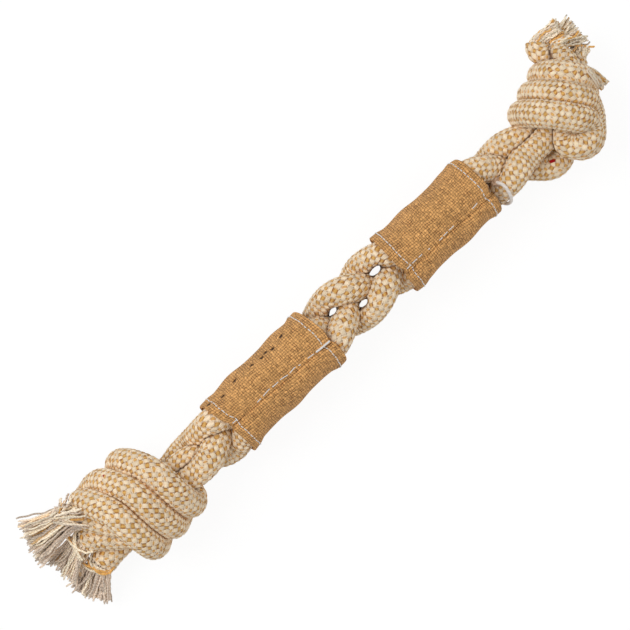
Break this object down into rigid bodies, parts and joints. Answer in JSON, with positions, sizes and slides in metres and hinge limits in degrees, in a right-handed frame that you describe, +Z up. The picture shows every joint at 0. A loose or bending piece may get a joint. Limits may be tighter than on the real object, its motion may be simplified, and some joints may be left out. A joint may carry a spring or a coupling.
{
  "type": "rope dog toy",
  "caption": "Plaited cotton rope dog toy, knotted and frayed at both ends, with stitched jute sleeves round the plait as grips; it bends where the plait is bare.",
  "frame": {"origin": "middle of the bounding box in X and Y, at the height of the flattened undersides of the knots", "axes": "+X along the toy towards the knot whose tails turn aside, +Z up as the toy lies, with the sleeves' seams on top"},
  "size_m": [0.408, 0.0712, 0.0596],
  "materials": {
    "braided_rope": "round braid of cream and golden tan cotton yarn, matte",
    "loose_yarn": "loose greyish beige and tan cotton yarn, matte",
    "jute_cloth": "plain woven brown jute canvas, matte",
    "sewing_thread": "white sewing thread",
    "tie_cord": "white round cord"
  },
  "bodies": {
    "left_end": {"rope_1_left_knot": "braided_rope", "rope_1_left_fray": "loose_yarn", "rope_2_left_knot": "braided_rope", "rope_2_left_fray": "loose_yarn", "rope_3_left_knot": "braided_rope", "rope_3_left_fray": "loose_yarn"},
    "left_grip": {"left_sleeve": "jute_cloth", "left_sleeve_outer_hem_thread": "sewing_thread", "left_sleeve_inner_hem_thread": "sewing_thread", "left_sleeve_seam_thread": "sewing_thread", "rope_1_left_neck": "braided_rope", "rope_1_left_grip": "braided_rope", "rope_1_middle": "braided_rope", "rope_2_left_neck": "braided_rope", "rope_2_left_grip": "braided_rope", "rope_2_middle": "braided_rope", "rope_3_left_neck": "braided_rope", "rope_3_left_grip": "braided_rope", "rope_3_middle": "braided_rope"},
    "right_grip": {"right_sleeve": "jute_cloth", "right_sleeve_outer_hem_thread": "sewing_thread", "right_sleeve_inner_hem_thread": "sewing_thread", "right_sleeve_seam_thread": "sewing_thread", "rope_1_right_grip": "braided_rope", "rope_1_right_neck": "braided_rope", "rope_2_right_grip": "braided_rope", "rope_2_right_neck": "braided_rope", "rope_3_right_grip": "braided_rope", "rope_3_right_neck": "braided_rope", "tie_cord": "tie_cord"},
    "right_end": {"rope_1_right_knot": "braided_rope", "rope_1_right_fray": "loose_yarn", "rope_2_right_knot": "braided_rope", "rope_2_right_fray": "loose_yarn", "rope_3_right_knot": "braided_rope", "rope_3_right_fray": "loose_yarn"}
  },
  "joints": [
    {"name": "left_neck_bend", "type": "hinge", "parent": "left_grip", "child": "left_end", "pos_m": [-0.09193, -0.00458, 0.02659], "axis": [0, 0, 1], "range_deg": [-35, 35], "deforming": ["rope_1_left_neck", "rope_2_left_neck", "rope_3_left_neck"]},
    {"name": "middle_bend", "type": "hinge", "parent": "left_grip", "child": "right_grip", "pos_m": [0.01357, -0.00458, 0.02659], "axis": [0, 0, 1], "range_deg": [-85, 85], "deforming": ["rope_1_middle", "rope_2_middle", "rope_3_middle"]},
    {"name": "right_neck_bend", "type": "hinge", "parent": "right_grip", "child": "right_end", "pos_m": [0.11407, -0.00458, 0.02659], "axis": [0, 0, 1], "range_deg": [-30, 35], "deforming": ["rope_1_right_neck", "rope_2_right_neck", "rope_3_right_neck"]}
  ]
}
